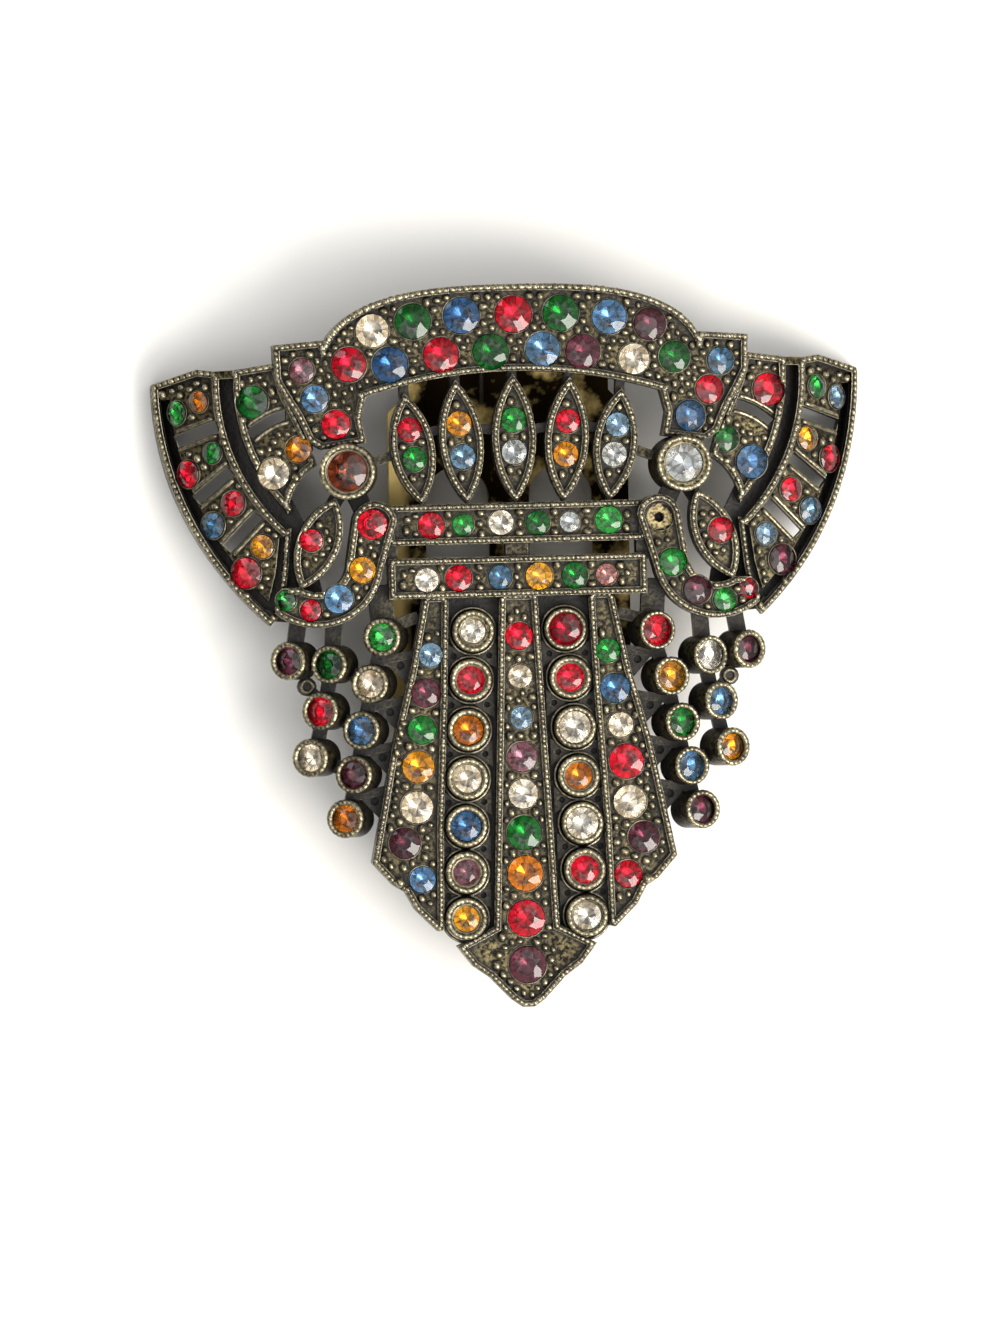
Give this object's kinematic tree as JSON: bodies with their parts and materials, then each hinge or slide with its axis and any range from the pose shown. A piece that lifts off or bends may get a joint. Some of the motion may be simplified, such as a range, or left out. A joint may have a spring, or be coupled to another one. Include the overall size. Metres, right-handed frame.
{
  "type": "dress clip",
  "caption": "Domed, pierced dress clip in antiqued pot metal set with round coloured glass stones, with a brass fork lever on a spring hinge behind it.",
  "frame": {"origin": "middle of the foot of the clip's box, on the surface that the clip lies on", "axes": "+Z out of the face, +Y towards the arch at the top of the clip, +X to the right as seen from the front"},
  "size_m": [0.0602, 0.0608, 0.0116],
  "materials": {
    "pot_metal": "antiqued pot metal, dark in the recesses and rubbed bright on raised edges and beads",
    "glass_stones": "faceted and foil-backed glass in ruby, emerald green, blue, amethyst, topaz and clear",
    "brass": "rolled brass sheet with old, dull gilding",
    "spring_steel": "dull drawn steel wire"
  },
  "bodies": {
    "front": {"casting": "pot_metal", "arch_stones": "glass_stones", "shoulder_stones": "glass_stones", "navette_stones": "glass_stones", "bar_stones": "glass_stones", "wing_stones_left": "glass_stones", "wing_stones_right": "glass_stones", "bow_stones": "glass_stones", "chain_stones": "glass_stones", "fan_stones": "glass_stones", "hinge_pin": "brass", "spring": "spring_steel"},
    "fork": {"lever": "brass"}
  },
  "joints": [
    {"name": "lever_hinge", "type": "hinge", "parent": "front", "child": "fork", "pos_m": [0, 0.025, 0.00464], "axis": [1, 0, 0], "range_deg": [0, 45], "stiffness_Nm_per_rad": 0.02, "springref_deg": -34.38}
  ]
}
